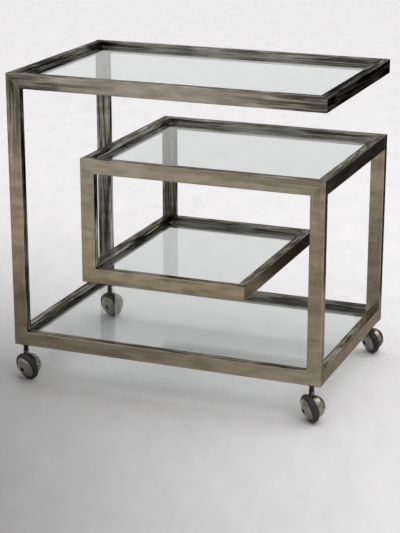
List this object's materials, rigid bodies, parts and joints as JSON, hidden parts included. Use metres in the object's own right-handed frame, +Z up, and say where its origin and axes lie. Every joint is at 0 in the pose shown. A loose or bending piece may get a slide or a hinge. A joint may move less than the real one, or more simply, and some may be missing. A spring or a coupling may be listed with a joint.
{
  "type": "bar cart on wheels",
  "caption": "Greek-key serving cart of rectangular nickelled tube with clear glass shelves at stepped heights, on swivelling ball casters.",
  "frame": {"origin": "on the floor, under the middle of the footprint that the cart covers with its casters parked", "axes": "+X along the cart to the right, with the tall bottle bay at -X and the free ends of the shelves at +X; +Y from front to back; +Z up"},
  "size_m": [0.7326, 0.5118, 0.6939],
  "materials": {
    "nickelled_tube": "warm nickel plate, brushed along the tube and lightly tarnished",
    "clear_glass": "clear float glass with polished edges, faintly green",
    "clear_pads": "clear soft bumper discs",
    "dark_steel": "dark oiled steel",
    "caster_chrome": "polished chrome with a smoky cast",
    "black_rubber": "matt black rubber"
  },
  "bodies": {
    "frame": {"front_left_post": "nickelled_tube", "front_right_post": "nickelled_tube", "front_inner_post": "nickelled_tube", "back_left_post": "nickelled_tube", "back_right_post": "nickelled_tube", "back_inner_post": "nickelled_tube", "top_front_rail": "nickelled_tube", "top_back_rail": "nickelled_tube", "top_left_rail": "nickelled_tube", "top_right_rail": "nickelled_tube", "middle_front_rail": "nickelled_tube", "middle_back_rail": "nickelled_tube", "middle_left_rail": "nickelled_tube", "middle_right_rail": "nickelled_tube", "lower_front_rail": "nickelled_tube", "lower_back_rail": "nickelled_tube", "lower_left_rail": "nickelled_tube", "lower_right_rail": "nickelled_tube", "bottom_front_rail": "nickelled_tube", "bottom_back_rail": "nickelled_tube", "bottom_left_rail": "nickelled_tube", "bottom_right_rail": "nickelled_tube", "top_glass": "clear_glass", "top_ledges": "nickelled_tube", "middle_glass": "clear_glass", "middle_ledges": "nickelled_tube", "lower_glass": "clear_glass", "lower_ledges": "nickelled_tube", "bottom_glass": "clear_glass", "bottom_ledges": "nickelled_tube", "glass_pads": "clear_pads", "front_left_socket": "dark_steel", "front_right_socket": "dark_steel", "back_left_socket": "dark_steel", "back_right_socket": "dark_steel"},
    "front_left_caster": {"front_left_stem": "dark_steel", "front_left_hood": "caster_chrome", "front_left_axle": "dark_steel"},
    "front_left_roller": {"front_left_wheel": "caster_chrome", "front_left_tyre": "black_rubber", "front_left_hubcap": "caster_chrome"},
    "front_right_caster": {"front_right_stem": "dark_steel", "front_right_hood": "caster_chrome", "front_right_axle": "dark_steel"},
    "front_right_roller": {"front_right_wheel": "caster_chrome", "front_right_tyre": "black_rubber", "front_right_hubcap": "caster_chrome"},
    "back_left_caster": {"back_left_stem": "dark_steel", "back_left_hood": "caster_chrome", "back_left_axle": "dark_steel"},
    "back_left_roller": {"back_left_wheel": "caster_chrome", "back_left_tyre": "black_rubber", "back_left_hubcap": "caster_chrome"},
    "back_right_caster": {"back_right_stem": "dark_steel", "back_right_hood": "caster_chrome", "back_right_axle": "dark_steel"},
    "back_right_roller": {"back_right_wheel": "caster_chrome", "back_right_tyre": "black_rubber", "back_right_hubcap": "caster_chrome"}
  },
  "joints": [
    {"name": "front_left_swivel", "type": "hinge", "parent": "frame", "child": "front_left_caster", "pos_m": [-0.344, -0.213, 0.07795], "axis": [0, 0, 1], "continuous": true},
    {"name": "front_left_roll", "type": "hinge", "parent": "front_left_caster", "child": "front_left_roller", "pos_m": [-0.33459, -0.22754, 0.03097], "axis": [-0.3462, -0.9018, -0.2588], "continuous": true},
    {"name": "front_right_swivel", "type": "hinge", "parent": "frame", "child": "front_right_caster", "pos_m": [0.331, -0.213, 0.07795], "axis": [0, 0, 1], "continuous": true},
    {"name": "front_right_roll", "type": "hinge", "parent": "front_right_caster", "child": "front_right_roller", "pos_m": [0.33339, -0.23016, 0.03097], "axis": [-0.6948, -0.671, -0.2588], "continuous": true},
    {"name": "back_left_swivel", "type": "hinge", "parent": "frame", "child": "back_left_caster", "pos_m": [-0.344, 0.237, 0.07795], "axis": [0, 0, 1], "continuous": true},
    {"name": "back_left_roll", "type": "hinge", "parent": "back_left_caster", "child": "back_left_roller", "pos_m": [-0.33433, 0.22262, 0.03097], "axis": [-0.3304, -0.9077, -0.2588], "continuous": true},
    {"name": "back_right_swivel", "type": "hinge", "parent": "frame", "child": "back_right_caster", "pos_m": [0.331, 0.237, 0.07795], "axis": [0, 0, 1], "continuous": true},
    {"name": "back_right_roll", "type": "hinge", "parent": "back_right_caster", "child": "back_right_roller", "pos_m": [0.33517, 0.22018, 0.03097], "axis": [-0.6209, -0.7399, -0.2588], "continuous": true}
  ]
}
